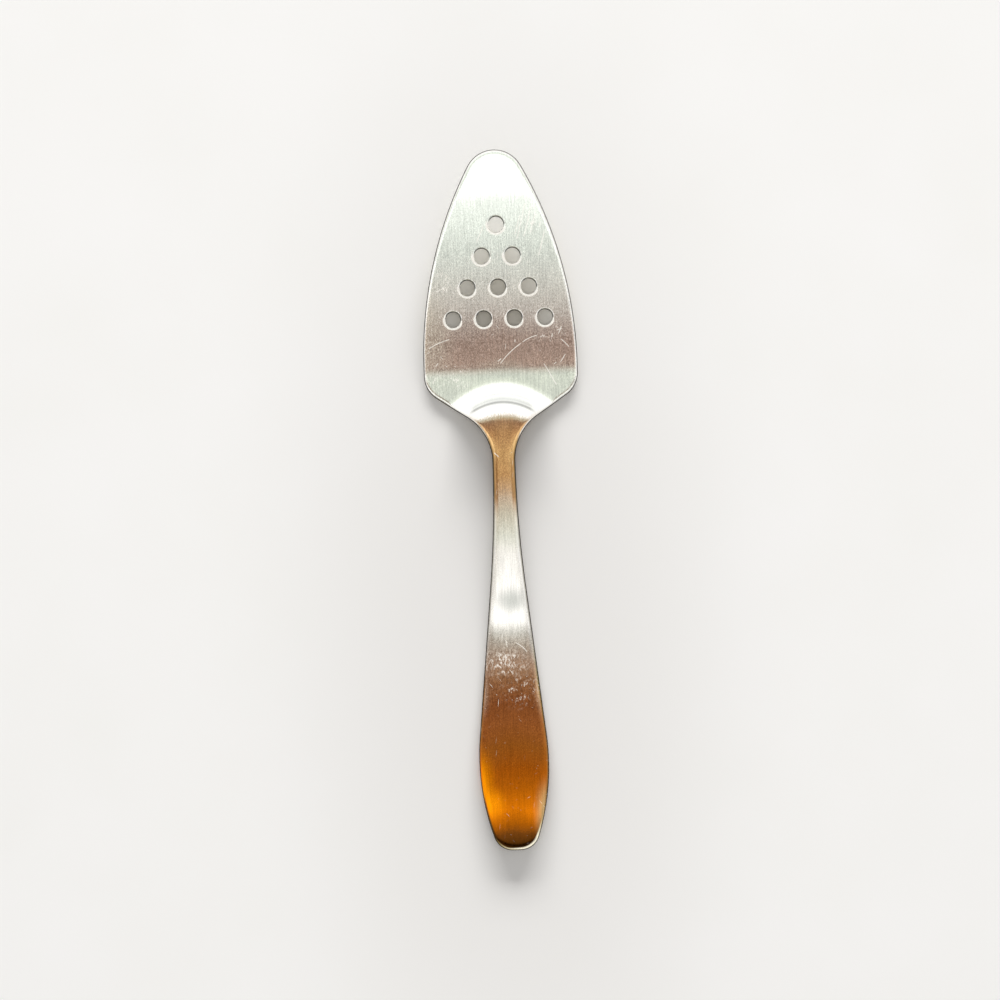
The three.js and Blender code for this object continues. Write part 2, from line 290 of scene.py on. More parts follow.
class Skin:
    """Collects the vertices, normals and faces of the server."""

    def __init__(self):
        self.points, self.normals, self.inset, self.mouth, self.polygons = [], [], [], [], []

    def add(self, points, normals, inset, mouth=0.0):
        """Adds vertices and returns their numbers.

        inset is how far they lie inside the outline, up to where the flat face begins. mouth is
        above 0 where a hole's rounded mouth is painted bright and below 0 where it is painted
        dark: a painted highlight and painted shade."""
        first = len(self.points)
        self.points.extend(points)
        self.normals.extend(normals)
        self.inset.extend(np.broadcast_to(inset, len(points)))
        self.mouth.extend(np.broadcast_to(mouth, len(points)))
        return np.arange(first, first + len(points))

    def strip(self, ring_a, ring_b):
        """Joins two closed rings of equal count by quads."""
        after_a, after_b = np.roll(ring_a, -1), np.roll(ring_b, -1)
        self.polygons.extend(zip(ring_a, after_a, after_b, ring_b))


def closed_loop():
    """The whole outline as a loop: down the right side from the tip and up the left."""
    mirror = np.array([-1, 1])
    points = np.concatenate([HALF_POINTS, HALF_POINTS[-2:0:-1] * mirror])
    out = np.concatenate([HALF_OUT, HALF_OUT[-2:0:-1] * mirror])
    return points, out


def edge_rows(which, sizes, rows):
    """Rows of points round the rounded edge, from the rim (first) to the face (last)."""
    points, out = closed_loop()
    width = along(points[:, 1], sizes)
    made = []
    for k in range(rows + 1):
        angle = k / rows * math.pi / 2
        inward = width * (1 - math.cos(angle) ** (2 / EDGE_FULLNESS))
        rise = math.sin(angle) ** (2 / EDGE_FULLNESS)
        place = points - out * inward[:, None]
        heights = faces(place[:, 0], place[:, 1])
        z = heights[0] + (heights[which] - heights[0]) * rise
        inset = inward if which == 1 else np.maximum(inward, UNDER_RIM_INSET)
        made.append((np.column_stack([place, z]), inset))
    return made


def add_edges(skin):
    """The rounded edge all round. Returns the rings where the top and underside begin."""
    over = edge_rows(1, TOP_EDGE, TOP_EDGE_ROWS)
    below = edge_rows(2, UNDER_EDGE, UNDER_EDGE_ROWS)
    rows = over[::-1] + below[1:]
    grid = np.array([row for row, _ in rows])
    around = np.roll(grid, -1, axis=1) - np.roll(grid, 1, axis=1)
    down = np.gradient(grid, axis=0)
    normals = np.cross(around, down)
    normals /= np.linalg.norm(normals, axis=2)[:, :, None]
    outward = closed_loop()[1]
    if np.einsum("ij,ij->i", normals[len(over) - 1][:, :2], outward).mean() < 0:
        normals = -normals
    normals[0] = face_normals(grid[0][:, 0], grid[0][:, 1], 1)
    normals[-1] = face_normals(grid[-1][:, 0], grid[-1][:, 1], 2)
    rings = [skin.add(grid[k], normals[k], rows[k][1]) for k in range(len(rows))]
    for upper, lower in zip(rings, rings[1:]):
        skin.strip(upper, lower)
    return rings[0], rings[-1]


def hole_places():
    """Centres of the drain holes: 1, 2, 3 and 4 in a triangle that points to the tip."""
    for row in range(HOLE_ROWS):
        y = TIP_Y - FIRST_HOLE_FROM_TIP - row * HOLE_ROW_PITCH
        for i in range(row + 1):
            yield (i - row / 2) * HOLE_PITCH, y


def add_hole(skin, x, y):
    """The wall of one hole, square to the blade. Returns its rings on the top and underside."""
    place = np.array(x), np.array(y)
    height, slope_back = faces(*place)[0], sheet(*place)[1]
    tilt = math.atan(float(slope_back))
    axis = np.array([0, math.sin(tilt), math.cos(tilt)])
    lengthwise = np.array([0, math.cos(tilt), -math.sin(tilt)])
    centre = np.array([x, y, float(height)])
    half = BLADE_THICKNESS / 2
    turns = np.arange(HOLE_SIDES) * 2 * math.pi / HOLE_SIDES
    # How far each point lies towards the lower left, where the mouth's painted highlight is; the
    # other side gets painted shade
    rubbed = GLINT_DIRECTION[0] * np.cos(turns) + GLINT_DIRECTION[1] * np.sin(turns)
    bright, dark = smoothstep(rubbed, *BRIGHT_SIDE), smoothstep(-rubbed, *DARK_SIDE)
    levels = [(HOLE_RADIUS + PUNCH_RADIUS + MOUTH_GLINT_WIDTH, half, 0, 1, 0)]
    for k in range(MOUTH_ROWS + 1):
        angle = k / MOUTH_ROWS * math.pi / 2
        radius = HOLE_RADIUS + PUNCH_RADIUS * (1 - math.sin(angle))
        level = half - PUNCH_RADIUS * (1 - math.cos(angle))
        shine = bright - dark * smoothstep(k, 1, MOUTH_ROWS - 2)
        levels.append((radius, level, -math.sin(angle), math.cos(angle), shine))
    slant = math.sqrt(0.5)
    levels.append((HOLE_RADIUS, -half + BURR_BREAK, -1, 0, -1))
    levels.append((HOLE_RADIUS + BURR_BREAK, -half, -slant, -slant, 0))
    spokes = np.cos(turns)[:, None] * np.array([1, 0, 0]) + np.sin(turns)[:, None] * lengthwise
    rings = []
    for radius, level, inward, upward, shine in levels:
        points = centre + radius * spokes + level * axis
        normals = inward * spokes + upward * axis
        rings.append(skin.add(points, normals, TOP_EDGE[0], shine))
    for upper, lower in zip(rings, rings[1:]):
        skin.strip(upper, lower)
    return rings[0], rings[-1]


def fill_face(skin, outer, holes, which):
    """Fills the top or underside between the edge's ring and the holes' rings."""
    known = np.concatenate([outer, *holes])
    flat = np.array(skin.points)[known][:, :2]
    constraints = []
    first = 0
    for ring in [outer, *holes]:
        numbers = np.arange(first, first + len(ring))
        constraints.extend(zip(numbers.tolist(), np.roll(numbers, -1).tolist()))
        first += len(ring)

    rows = np.arange(END_Y, TIP_Y, SHEET_STEP * math.sqrt(0.75))
    grid = []
    for i, y in enumerate(rows):
        for x in np.arange(-BLADE_WIDTH / 2, BLADE_WIDTH / 2, SHEET_STEP):
            grid.append((x + (i % 2) * SHEET_STEP / 2, y))
    grid = np.array(grid)
    border = flat[: len(outer)]
    right = border[: len(outer) // 2 + 1]
    near = np.array([np.min(np.hypot(*(border - p).T)) for p in grid])
    keep = near > CLEAR_OF_EDGE
    centres = [ring.mean(axis=0) for ring in flat[len(outer) :].reshape(-1, HOLE_SIDES, 2)]
    ring_radius = np.hypot(*(flat[len(outer)] - centres[0]))

    def in_metal(place, gap):
        if abs(place[0]) > np.interp(-place[1], -right[:, 1], right[:, 0], left=-1, right=-1):
            return False
        return all(math.dist(place, centre) > ring_radius + gap for centre in centres)

    keep &= np.array([in_metal(p, CLEAR_OF_HOLES) for p in grid])
    grid = grid[keep]

    every = [Vector(p) for p in np.concatenate([flat, grid])]
    made = geometry.delaunay_2d_cdt(every, constraints, [], 1, 1e-6, True)
    verts, triangles, origins = made[0], made[2], made[3]
    number = np.full(len(verts), -1)
    for i, origin in enumerate(origins):
        if origin and min(origin) < len(known):
            number[i] = known[min(origin)]
    new = np.flatnonzero(number < 0)
    places = np.array([verts[i] for i in new])
    heights = faces(places[:, 0], places[:, 1])[which]
    normals = face_normals(places[:, 0], places[:, 1], which)
    inset = along(places[:, 1], TOP_EDGE if which == 1 else UNDER_EDGE)
    number[new] = skin.add(np.column_stack([places, heights]), normals, inset)
    for triangle in triangles:
        corners = np.array([verts[i] for i in triangle])
        if not in_metal(corners.mean(axis=0), TRIANGLE_CLEAR):
            continue
        (ax, ay), (bx, by), (cx, cy) = corners
        turned = (bx - ax) * (cy - ay) - (by - ay) * (cx - ax) > 0
        order = triangle if turned == (which == 1) else triangle[::-1]
        skin.polygons.append([number[i] for i in order])


def make_server():
    """The whole server as one closed mesh with the formula's own normals."""
    skin = Skin()
    top_ring, under_ring = add_edges(skin)
    hole_rings = [add_hole(skin, x, y) for x, y in hole_places()]
    fill_face(skin, top_ring, [rings[0] for rings in hole_rings], 1)
    fill_face(skin, under_ring, [rings[1] for rings in hole_rings], 2)
    mesh = bpy.data.meshes.new("brushed_server")
    points = np.array(skin.points) * MM
    mesh.from_pydata(points.tolist(), [], [[int(i) for i in p] for p in skin.polygons])
    for name, values in [("inset", skin.inset), ("mouth", skin.mouth)]:
        attribute = mesh.attributes.new(name, "FLOAT", "POINT")
        attribute.data.foreach_set("value", np.array(values, dtype=np.float32))
    mesh.polygons.foreach_set("use_smooth", [True] * len(mesh.polygons))
    mesh.normals_split_custom_set_from_vertices(np.array(skin.normals).tolist())
    mesh.update()
    server = bpy.data.objects.new("brushed_server", mesh)
    bpy.context.scene.collection.objects.link(server)
    return server


def linear(hex_colour, strength=1.0):
    """An sRGB hex colour as linear RGBA."""
    values = [int(hex_colour[i : i + 2], 16) / 255 for i in (1, 3, 5)]
    bright = [v / 12.92 if v <= 0.04045 else ((v + 0.055) / 1.055) ** 2.4 for v in values]
    return (*[b * strength for b in bright], 1.0)


def add(tree, kind, inputs=(), stops=(), **settings):
    """Adds a node with its settings and links, and returns its outputs.

    An input is a value or another node's output. They come in the node's own order, or by name
    or number. Stops are the places and colours of a ramp."""
    node = tree.nodes.new("ShaderNode" + kind)
    for name, value in settings.items():
        setattr(node, name, value)
    for key, value in inputs.items() if isinstance(inputs, dict) else enumerate(inputs):
        if isinstance(value, bpy.types.NodeSocket):
            tree.links.new(value, node.inputs[key])
        else:
            node.inputs[key].default_value = value
    if stops:
        elements = node.color_ramp.elements
        while len(elements) < len(stops):
            elements.new(0.5)
        for element, (place, colour) in zip(elements, stops):
            element.position = place
            element.color = colour
    return node.outputs


def new_material(name):
    """An empty material and its node tree."""
    material = bpy.data.materials.new(name)
    material.use_nodes = True
    material.node_tree.nodes.clear()
    return material, material.node_tree


def places_in_mm(tree):
    """The place on a piece, in millimetres."""
    place = add(tree, "TexCoord")["Object"]
    return add(tree, "VectorMath", (place, (1 / MM, 1 / MM, 1 / MM)), operation="MULTIPLY")[0]


def mottle(tree, mm, size, detail):
    """Unevenness from 0 to 1 whose patches measure about a size in x, y and z."""
    stretch = tuple(1 / s for s in size)
    scaled = add(tree, "VectorMath", (mm, stretch), operation="MULTIPLY")[0]
    inputs = {"Vector": scaled, "Scale": 1.0, "Detail": detail, "Roughness": 0.6}
    return add(tree, "TexNoise", inputs)["Fac"]


def near_place(tree, mm, centre, size):
    """1 at a place on the server, falling to 0 over a size in x and y."""
    shifted = add(tree, "VectorMath", (mm, (*centre, 0)), operation="SUBTRACT")[0]
    stretch = (1 / size[0], 1 / size[1], 0)
    scaled = add(tree, "VectorMath", (shifted, stretch), operation="MULTIPLY")[0]
    away = add(tree, "VectorMath", (scaled,), operation="LENGTH")["Value"]
    return add(tree, "MapRange", (away, 0, 1, 1, 0), interpolation_type="SMOOTHERSTEP")[0]


def bowed_length(tree, across, length, radius):
    """The place along the axis of the lines that arch over it with a radius."""
    squared = add(tree, "Math", (across, across), operation="MULTIPLY")[0]
    return add(tree, "Math", (squared, 0.5 / radius, length), operation="MULTIPLY_ADD")[0]


def banded(tree, value, first, last, bands):
    """Colours that change over a value between a first and a last one."""
    share = add(tree, "MapRange", (value, first, last, 0, 1))[0]
    stops = [((place - first) / (last - first), colour) for place, colour in bands]
    return add(tree, "ValToRGB", (share,), stops)["Color"]


def along_axis(tree, length, bands):
    """Colours that change over places along the axis in millimetres."""
    return banded(tree, length, END_Y, TIP_Y, bands)


def strongest(tree, *marks):
    """The strongest of some marks at each place."""
    most = marks[0]
    for mark in marks[1:]:
        most = add(tree, "Math", (most, mark), operation="MAXIMUM")[0]
    return most


def painted(tree, colour, *coats):
    """A colour with coats laid over it. Each coat is how far it covers and its own colour."""
    for cover, coat in coats:
        colour = add(tree, "Mix", {0: cover, 6: colour, 7: coat}, data_type="RGBA")[2]
    return colour


def coats_near(tree, mm, places):
    """Coats of a colour that fade out round a place, for a list of centre, size and colour."""
    return [(near_place(tree, mm, *where), linear(colour)) for *where, colour in places]


# Brushed stainless steel, 18/8, polished with a belt along its length: a pale, faintly warm grey
# whose fine lines spread what it mirrors sideways and keep it sharp along the server. The neck
# and the handle are tinted amber, deepest towards the end: partly the steel's own tint and partly
# a painted reflection of warm surroundings. The tint's white, brown and greenish grey bands on the
# blade and the heel are painted reflections.
#
# A gradual change is written as its two ends and the values there: first, last, at first, at last.
STEEL = "#DAD8D3"
ROUGHNESS = (0.3, 0.7, 0.16, 0.26)
ANISOTROPY = 0.85
GRAIN_SIZE = (0.42, 9, 1)  # real belt lines are near 0.05 mm wide; drawn so that they show
FIBRE_SIZE = (0.37, 0.55, 1)  # short torn fibres of the grain, drawn as coarse as the lines
CLOUD_SIZE = (9, 14, 8)  # where the belt pressed more and less
RELIEF_DEPTH = 0.02
RELIEF_STRENGTH = 0.2

TINTS_AND_PAINTED_REFLECTIONS = [
    # place along the axis in millimetres, colour of the steel there with the painted reflection in
    # it
    (-119, "#3E2408"),
    (-114, "#5A310C"),
    (-111, "#8A4906"),
    (-106, "#BD6606"),
    (-99, "#A25608"),
    (-92, "#974F0C"),
    (-84, "#95591F"),
    (-76, "#9C6132"),
    (-69, "#915B33"),
    (-65, "#9C6D47"),
    (-60, "#967152"),
    (-55, "#A48A75"),
    (-50, "#AFA79C"),
    (-45, "#B8B6AF"),
    (-41, STEEL),
    (-18, STEEL),
    (-12, "#CDCEC3"),
    (-4, "#CBC4B3"),
    (1, "#D6C5AE"),
    (4, "#DABC96"),
    (9, "#DDB67E"),
    (17, "#F4D192"),
    (24, "#F0C68C"),
    (27, "#D8B28A"),
    (28.6, "#B8AC96"),
    (30.2, "#F2F3F0"),
    (43, "#E0E3D9"),
    (46, "#DFDDD2"),
    (49.5, "#D3C5BA"),
    (56, "#CBBDB3"),
    (66, STEEL),
    (88, "#D6DAD3"),
]
# The tint's borders follow the heel's bow up to a limit, and clouds and fibres push them about
TINT_BOW_LIMIT = 1.8
CLOUD_PUSH = 3.0
FIBRE_PUSH = 2.4
MEAN_PUSH = 3.0
# Uneven places of the tint, with painted light: the two orange places on the handle's lower left
# are a painted glow, and the pale one at its end's right side a painted highlight. Each: centre
# and size, colour
TINT_PLACES_AND_GLOWS = [
    ((-11.5, -95), (6.5, 15), "#CC7804"),
    ((-9, -103.5), (8, 8), "#D88006"),
    ((11, -108), (6, 16), "#A58F62"),
    ((1, -34), (8, 7), "#A9AAA5"),
    ((-25, 56), (13, 26), "#E2E0D5"),
    ((11, -62), (4.5, 17), "#CDB493"),
    ((-10.5, -64), (4, 14), "#B09C8C"),
]

# The level foot of the heel is painted a darker greenish grey, a painted reflection. It sets in
# along the heel's bowed lines and ends straight across, where the bed begins.
FOOT_PAINTED_REFLECTION = "#C4C7BC"
FOOT_START = (40.5, 43, 0, 0.8)
FOOT_STOP = (43.5, 46.5, 1, 0)

# Painted light on the rounded rim, which the tint hardly reaches: a painted white highlight at the
# end's lower right, painted shade at its lower left, along the handle's middle and along the neck,
# and a painted orange glow up the handle's left side. Each: place, on the left, on the right
RIM_PAINTED_LIGHT = [
    (-120, "#B0A070", "#FAF6EC"),
    (-115, "#4A2A08", "#E6DFC4"),
    (-110, "#6A4A20", "#B09A70"),
    (-104, "#8A5020", "#96744A"),
    (-100, "#D8860F", "#7A5A30"),
    (-95, "#DC7A10", "#8A5E2E"),
    (-88, "#B0601A", "#8A6034"),
    (-80, "#8A5A2A", "#8A6034"),
    (-62, "#7A5230", "#7A6A40"),
    (-45, "#A8A49C", "#A8A49C"),
    (-7, "#9E9A90", "#9E9A90"),
    (4, "#6A5C42", "#6E6048"),
    (16, "#6A5634", "#6A5634"),
    (21, "#A08860", "#A08860"),
    (24, "#EDE9E0", "#EDE9E0"),
    (33, STEEL, STEEL),
]
RIM_LEFT_TO_RIGHT = (-6, 1, 0, 1)
RIM_FADE = (0.55, 0.85, 1, 0)  # over how far inside the outline
# At the handle's end the rim's painted highlight reaches further in, most of all on the right: the
# share of the inset that counts there, along the axis and across it
END_RIM = (-117, -110, 0.6, 1)
END_RIM_ACROSS = (-3, 6, 0.9, 0.6)

# Painted shade: the neck's rounded edge is painted darker than its flat, so that the bright sides
# it mirrors look no brighter than the flat, from near the outline to where the flat begins
NECK_EDGE_SHADE = "#9A7448"
NECK_EDGE_START = (0.4, 0.6, 0, 1)
NECK_EDGE_STOP = (1.5, 1.88, 1, 0)
NECK_EDGE_TO_HEEL = (12, 20, 1, 0.6)
NECK_EDGE_PLACE = ((0, 14), (60, 23))
NECK_EDGE_COVER = (0, 0.4, 0, 0.9)

# How much lighter and darker the lines, the fibres and the clouds make the steel
GRAIN_TONE = (0.25, 0.75, -0.17, 0.17)
FIBRE_TONE = (0.25, 0.75, -0.5, 0.5)
CLOUD_TONE = (0.25, 0.75, 0.94, 1.06)
GRAIN_BY_WEAR = (0, 0.25, 0, 1)

# How strongly the surface is scuffed at places along the axis
WEAR = [
    (-120, 0.45),
    (-74, 0.5),
    (-66, 1.3),
    (-47, 1.2),
    (-41, 0.4),
    (29, 0.5),
    (31, 0.12),
    (40, 0.12),
    (43, 0.45),
    (60, 1.0),
    (92, 0.8),
    (106, 0.5),
    (120, 0.3),
]
WEAR_SCALE = 0.5  # so that no grey of the ramp passes 1

# Places rubbed by use: centre, size, and the share of the surface that is left unmarked
SCUFFS = [
    ((-2, -55.5), (14, 8), 0.5),
    ((3, -65), (10, 9), 0.55),
    ((17, 60), (12, 12), 0.58),
    ((-19, 74), (10, 12), 0.58),
    ((-16, 44), (12, 9), 0.58),
    ((12, 97), (7, 12), 0.6),
]
SCUFF_SIZE = (0.5, 1.0, 1)
SCUFF_PATCH_SIZE = (2.6, 2.2, 1)
SCUFF_PATCHES = (0.3, 0.7, -0.12, 0.12)
SCUFF_ONSET = (-0.02, 0.2)  # from below to above the unmarked share
SCUFF_STRENGTH = 0.9

# Dark arcs painted across the heel along the press's bends, a painted dark reflection: distance
# from the tip, half width, how dark
CREASES = [(85.8, 0.95, 0.62), (84.7, 1.6, 0.3), (82.9, 0.7, 0.16), (81.9, 0.4, 0.1)]
CREASE_BOW = 17.6
CREASE_ENDS = (9.52, 11.536, 1, 0)  # where they fade, to both sides

# The longest scratches: both ends as x, y in millimetres, and the bow of the line between them
SCRATCHES = [
    (-0.2, 47.4, 7.6, 54.5, 0.5),
    (7.6, 54.5, 13.3, 56.9, 0.4),
    (5.3, 56.0, 5.2, 54.4, 0),
    (21.5, 60.0, 20.1, 56.8, 0),
    (19.4, 58.3, 21.9, 59.0, 0),
    (20.8, 55.5, 23.9, 52.3, 0.2),
    (14.8, 47.4, 19.1, 39.5, 0.1),
    (18.2, 46.7, 19.5, 47.7, 0),
    (20.5, 47.2, 22.6, 50.3, 0),
    (-23.7, 41.3, -22.3, 43.9, 0),
    (-24.7, 53.4, -17.1, 56.5, 0.3),
    (-22.6, 47.0, -21.4, 48.7, 0),
    (-1.2, 48.2, 0.6, 49.5, 0),
    (-21.6, 72.5, -17.5, 74.1, 0.1),
    (10.2, 101.7, 7.0, 89.6, 0.1),
    (13.6, 98.3, 11.6, 91.1, 0),
    (12.1, 100.4, 9.4, 90.2, 0.1),
    (16.6, 92.3, 14.2, 83.5, 0.1),
    (8.4, 97.8, 6.3, 91.0, 0),
    (15.4, 95.4, 14.7, 93.2, 0),
    (-4.2, 94.7, -6.8, 88.9, 0),
    (1.7, -48.6, 5.9, -52.3, 0.4),
    (-1.5, -47.9, -1.0, -50.3, 0),
    (-3.3, 16.9, -1.5, 15.1, 0),
]
SCRATCH_HALF_WIDTH = 0.22  # real ones are nearer 0.05 mm; drawn so that they show
SCRATCH_FADE = 0.8  # over how much of its length a scratch runs out at each end

# Random nicks: turn in degrees, length and width of a cell, share of the cells that hold one
NICKS = [(8, 12, 0.55, 0.4), (-38, 8, 0.6, 0.35), (64, 6, 0.6, 0.3), (-75, 2, 0.5, 0.3)]
NICK_EDGE = (0.05, 0.16, 1, 0)
NICK_BY_WEAR = (0.05, 0.4, 0, 1)

# Scratched steel is rough, so it gathers light from all round and looks pale. The painted
# highlight on the holes' mouths takes the same pale colour
MARK_AND_GLINT_COLOUR = "#F4F1EA"
MARK_ROUGHNESS = 0.6

# Painted shade, dark in the heel's creases and on the holes' walls, and a painted dark line along
# the outermost rim: how the shade covers the dark part of a mouth, and how far in the line reaches
# on the rim
CREASE_AND_WALL_SHADE = "#1E1B18"
WALL_SHADE_COVER = (-0.6, 0, 0.85, 0)
RIM_PAINTED_DARK_LINE = "#2A2622"
RIM_PAINTED_DARK_LINE_COVER = (0.2, 0.45, 1, 0)


def axis_tint_and_reflection(tree, mm, length, bowed, clouds, fibres):
    """The steel's tint along the axis with painted reflection in it, and its uneven places and
    painted glow.
    """
    bow = add(tree, "Math", (bowed, length), operation="SUBTRACT")[0]
    bow = add(tree, "Math", (bow, TINT_BOW_LIMIT), operation="MINIMUM")[0]
    place = add(tree, "Math", (length, bow), operation="ADD")[0]
    place = add(tree, "Math", (clouds, CLOUD_PUSH, place), operation="MULTIPLY_ADD")[0]
    place = add(tree, "Math", (fibres, FIBRE_PUSH, place), operation="MULTIPLY_ADD")[0]
    place = add(tree, "Math", (place, MEAN_PUSH), operation="SUBTRACT")[0]
    tint_and_painted_light = along_axis(tree, place, [(y, linear(colour)) for y, colour in TINTS_AND_PAINTED_REFLECTIONS])
    return painted(tree, tint_and_painted_light, *coats_near(tree, mm, TINT_PLACES_AND_GLOWS))


def foot_reflection_cover(tree, bowed, length):
    """How far the foot's painted reflection covers the heel."""
    start = add(tree, "MapRange", (bowed, *FOOT_START))[0]
    stop = add(tree, "MapRange", (length, *FOOT_STOP))[0]
    return add(tree, "Math", (start, stop), operation="MULTIPLY")[0]


def rim_light_cover(tree, inset, across, length):
    """How far the rim's painted light covers the steel: 1 on the rim, 0 inside it."""
    at_end = add(tree, "MapRange", (length, *END_RIM))[0]
    to_side = add(tree, "MapRange", (across, *END_RIM_ACROSS))[0]
    counted = add(tree, "Math", (inset, strongest(tree, at_end, to_side)), operation="MULTIPLY")[0]
    return add(tree, "MapRange", (counted, *RIM_FADE))[0]


def rim_painted_light(tree, across, length):
    """The rim's painted highlights and shade, on the left and on the right."""
    left = along_axis(tree, length, [(y, linear(colour)) for y, colour, _ in RIM_PAINTED_LIGHT])
    right = along_axis(tree, length, [(y, linear(colour)) for y, _, colour in RIM_PAINTED_LIGHT])
    return painted(tree, left, (add(tree, "MapRange", (across, *RIM_LEFT_TO_RIGHT))[0], right))


def neck_edge_shade_cover(tree, mm, inset, length):
    """How far the neck edge's painted shade covers the steel."""
    near = near_place(tree, mm, *NECK_EDGE_PLACE)
    cover = add(tree, "MapRange", (near, *NECK_EDGE_COVER))[0]
    for value, change in [
        (inset, NECK_EDGE_START),
        (inset, NECK_EDGE_STOP),
        (length, NECK_EDGE_TO_HEEL),
    ]:
        step = add(tree, "MapRange", (value, *change))[0]
        cover = add(tree, "Math", (cover, step), operation="MULTIPLY")[0]
    return cover


def worn_tone(tree, grain, fibres, clouds, wear):
    """How light the lines, fibres and clouds leave the steel: 1 is its own colour."""
    lines = add(tree, "MapRange", (grain, *GRAIN_TONE))[0]
    by_wear = add(tree, "MapRange", (wear, *GRAIN_BY_WEAR))[0]
    lines = add(tree, "Math", (lines, by_wear), operation="MULTIPLY")[0]
    torn = add(tree, "MapRange", (fibres, *FIBRE_TONE))[0]
    torn = add(tree, "Math", (torn, wear), operation="MULTIPLY")[0]
    cloudy = add(tree, "MapRange", (clouds, *CLOUD_TONE))[0]
    tone = add(tree, "Math", (lines, torn), operation="ADD")[0]
    return add(tree, "Math", (tone, cloudy), operation="ADD")[0]


def scratch_marks(tree, across, length):
    """The listed scratches, three at a time in the components of a vector: 1 on a line."""
    thrice_across = add(tree, "CombineXYZ", (across, across, across))[0]
    thrice_along = add(tree, "CombineXYZ", (length, length, length))[0]
    marks = (0, 0, 0)
    for first in range(0, len(SCRATCHES), 3):
        group = np.array(SCRATCHES[first : first + 3])
        start, end, bow = group[:, :2], group[:, 2:4], group[:, 4]
        half = np.linalg.norm(end - start, axis=1) / 2
        middle = (start + end) / 2
        run = (end - start) / (2 * half[:, None])
        side = np.column_stack([-run[:, 1], run[:, 0]])
        places = []
        for axis in (run, side):
            inputs = (thrice_along, axis[:, 1], -(axis * middle).sum(axis=1))
            place = add(tree, "VectorMath", inputs, operation="MULTIPLY_ADD")[0]
            inputs = (thrice_across, axis[:, 0], place)
            places.append(add(tree, "VectorMath", inputs, operation="MULTIPLY_ADD")[0])
        along_line, beside = places

        squared = add(tree, "VectorMath", (along_line, along_line), operation="MULTIPLY")[0]
        inputs = (squared, bow / half**2, beside)
        off = add(tree, "VectorMath", inputs, operation="MULTIPLY_ADD")[0]
        off = add(tree, "VectorMath", (off, bow), operation="SUBTRACT")[0]
        off = add(tree, "VectorMath", (off,), operation="ABSOLUTE")[0]
        inputs = (off, [-1 / SCRATCH_HALF_WIDTH] * 3, (1, 1, 1))
        thin = add(tree, "VectorMath", inputs, operation="MULTIPLY_ADD")[0]
        from_middle = add(tree, "VectorMath", (along_line,), operation="ABSOLUTE")[0]
        inputs = (from_middle, [-1 / SCRATCH_FADE] * 3, half / SCRATCH_FADE)
        short = add(tree, "VectorMath", inputs, operation="MULTIPLY_ADD")[0]
        mark = add(tree, "VectorMath", (thin, short), operation="MINIMUM")[0]
        marks = add(tree, "VectorMath", (marks, mark), operation="MAXIMUM")[0]
    return strongest(tree, *add(tree, "SeparateXYZ", (marks,)))


def nick_marks(tree, mm, wear):
    """Short random nicks in a few directions, most where the steel is worn: 1 on a nick."""
    layers = []
    for turn, length, width, share in NICKS:
        inputs = {"Vector": mm, "Angle": math.radians(turn)}
        turned = add(tree, "VectorRotate", inputs, rotation_type="Z_AXIS")[0]
        stretch = (1 / width, 1 / length, 0)
        scaled = add(tree, "VectorMath", (turned, stretch), operation="MULTIPLY")[0]
        cell = add(tree, "TexVoronoi", {"Vector": scaled, "Scale": 1.0})
        near = add(tree, "MapRange", (cell["Distance"], *NICK_EDGE))[0]
        draw = add(tree, "SeparateColor", (cell["Color"],))[0]
        chosen = add(tree, "MapRange", (draw, 1 - share, 1, 0, 1))[0]
        layers.append(add(tree, "Math", (near, chosen), operation="MULTIPLY")[0])
    worn = add(tree, "Math", (strongest(tree, *layers), wear), operation="MULTIPLY")[0]
    return add(tree, "MapRange", (worn, *NICK_BY_WEAR))[0]


def scuff_marks(tree, mm):
    """Fine pale marks in the rubbed places: 1 on a mark."""
    patches = mottle(tree, mm, SCUFF_PATCH_SIZE, 1.0)
    patches = add(tree, "MapRange", (patches, *SCUFF_PATCHES))[0]
    specks = mottle(tree, mm, SCUFF_SIZE, 2.0)
    specks = add(tree, "Math", (specks, patches), operation="ADD")[0]
    layers = []
    for centre, size, unmarked in SCUFFS:
        onset = [unmarked + edge for edge in SCUFF_ONSET]
        strength = add(tree, "MapRange", (specks, *onset, 0, SCUFF_STRENGTH))[0]
        rubbed = near_place(tree, mm, centre, size)
        layers.append(add(tree, "Math", (strength, rubbed), operation="MULTIPLY")[0])
    return strongest(tree, *layers)


def crease_shade(tree, across, length):
    """The painted dark arcs across the heel: how dark they make the steel."""
    bowed = bowed_length(tree, across, length, CREASE_BOW)
    from_tip = add(tree, "Math", (TIP_Y, bowed), operation="SUBTRACT")[0]
    lines = []
    for place, half_width, dark in CREASES:
        off = add(tree, "Math", (from_tip, place), operation="SUBTRACT")[0]
        off = add(tree, "Math", (off,), operation="ABSOLUTE")[0]
        lines.append(add(tree, "MapRange", (off, 0, half_width, dark, 0))[0])
    aside = add(tree, "Math", (across,), operation="ABSOLUTE")[0]
    fade = add(tree, "MapRange", (aside, *CREASE_ENDS))[0]
    return add(tree, "Math", (strongest(tree, *lines), fade), operation="MULTIPLY")[0]


